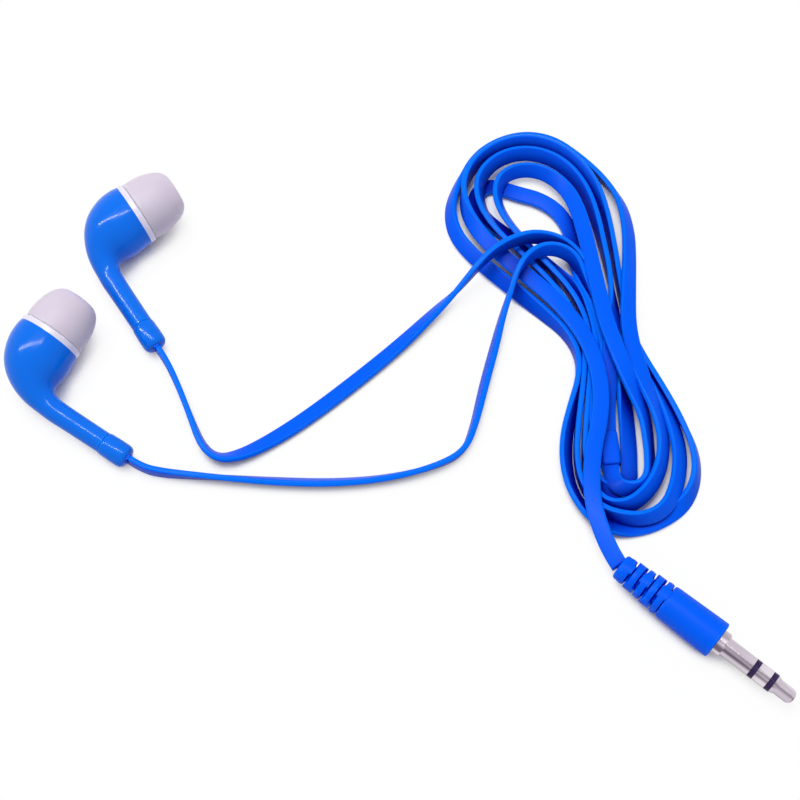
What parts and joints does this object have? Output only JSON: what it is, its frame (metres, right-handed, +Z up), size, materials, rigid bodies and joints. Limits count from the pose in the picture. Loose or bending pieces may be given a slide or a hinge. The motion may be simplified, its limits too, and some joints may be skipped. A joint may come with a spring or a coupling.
{
  "type": "wired earphones",
  "caption": "In-ear earphones with comma-shaped housings, soft domed tips, a flat cord folded in a pinched hank, and a 3.5 mm stereo plug.",
  "frame": {"origin": "bottom centre of the box round the two buds, on the table that the earphones lie on", "axes": "+Z up; the tips point between +X and +Y, and the cord runs out along +X to the hank and the plug"},
  "size_m": [0.1411, 0.1168, 0.0132],
  "materials": {
    "housing_blue": "gloss",
    "cord_blue": "satin",
    "cover_white": "gloss",
    "clear_silicone": "satin",
    "steel_mesh": "fine mesh",
    "plated_steel": "plated",
    "copper": "enamelled",
    "inner_plastic": "matt",
    "clear_film": "thin film",
    "board": "matt",
    "contact_nickel": "polished nickel",
    "insulator_black": "satin"
  },
  "bodies": {
    "root": {"left_housing": "housing_blue", "left_boot": "cord_blue", "left_cord_end": "cord_blue", "left_lead_wires": "copper", "left_front_cover": "cover_white", "left_nozzle_mesh": "steel_mesh", "left_driver_frame": "inner_plastic", "left_yoke": "plated_steel", "left_magnet": "plated_steel", "left_top_plate": "plated_steel", "left_voice_coil": "copper", "left_diaphragm": "clear_film", "left_terminal_board": "board", "right_housing": "housing_blue", "right_boot": "cord_blue", "right_cord_end": "cord_blue", "right_lead_wires": "copper", "right_front_cover": "cover_white", "right_nozzle_mesh": "steel_mesh", "right_driver_frame": "inner_plastic", "right_yoke": "plated_steel", "right_magnet": "plated_steel", "right_top_plate": "plated_steel", "right_voice_coil": "copper", "right_diaphragm": "clear_film", "right_terminal_board": "board", "plug_grip": "cord_blue", "plug_inner_mold": "inner_plastic", "plug_sleeve_contact": "contact_nickel", "plug_rear_insulator": "insulator_black", "plug_ring_contact": "contact_nickel", "plug_front_insulator": "insulator_black", "plug_tip_contact": "contact_nickel", "left_cord": "cord_blue", "right_cord": "cord_blue", "plug_cord": "cord_blue", "splitter": "cord_blue", "cord_hank": "cord_blue"},
    "left_tip": {"left_ear_tip": "clear_silicone"},
    "right_tip": {"right_ear_tip": "clear_silicone"}
  },
  "joints": [
    {"name": "left_tip_pull", "type": "slide", "parent": "root", "child": "left_tip", "axis": [0.8245, 0.5561, 0.1045], "range_m": [0, 0.004]},
    {"name": "right_tip_pull", "type": "slide", "parent": "root", "child": "right_tip", "axis": [0.5417, 0.8341, 0.1045], "range_m": [0, 0.004]}
  ]
}
